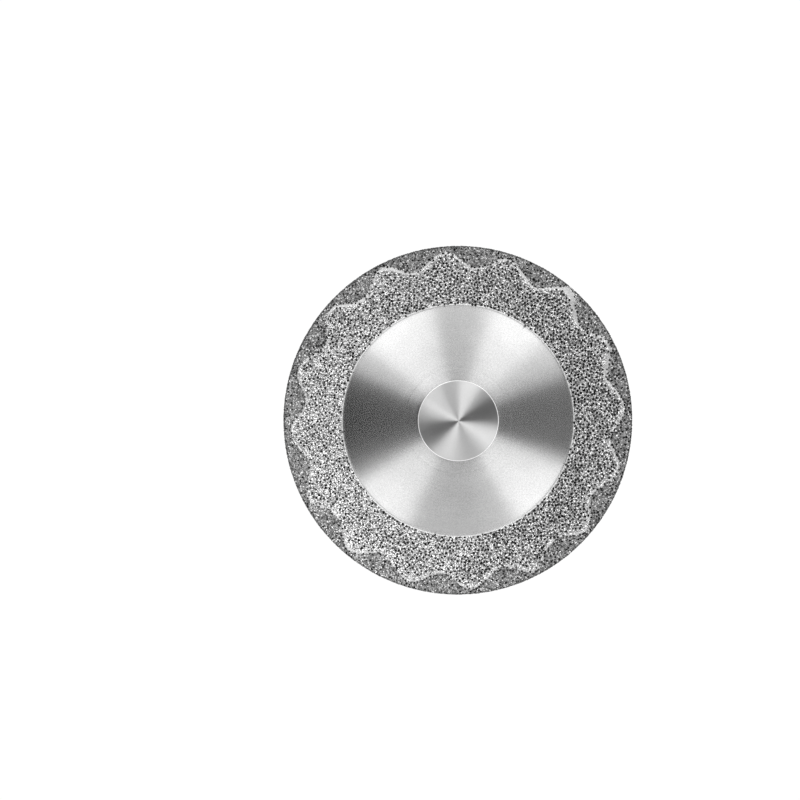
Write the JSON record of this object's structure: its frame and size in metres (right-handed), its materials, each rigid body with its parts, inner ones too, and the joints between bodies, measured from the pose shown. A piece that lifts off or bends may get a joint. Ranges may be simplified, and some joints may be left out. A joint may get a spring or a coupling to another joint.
{
  "type": "flexible diamond disc",
  "caption": "Thin flexible double-sided diamond disc with a scalloped, stepped rim, mounted on a straight handpiece mandrel with a domed head and a flange.",
  "frame": {"origin": "centre of the shank's tail end", "axes": "+Z along the shank's axis towards the head, disc flat in XY; one crest of the wavy step lies 4.75 degrees from +X towards +Y"},
  "size_m": [0.022, 0.022, 0.0445],
  "materials": {
    "turned_steel": "fine-turned stainless steel",
    "washer_steel": "fine circular satin on thin sheet steel",
    "core_steel": "fine circular satin on spring steel",
    "diamond_grit": "rough diamond grains bonded in nickel"
  },
  "bodies": {
    "root": {"mandrel": "turned_steel", "lower_hub_washer": "washer_steel", "steel_core": "core_steel", "diamond_coating": "diamond_grit", "upper_hub_washer": "washer_steel", "mandrel_head": "turned_steel"}
  },
  "joints": []
}
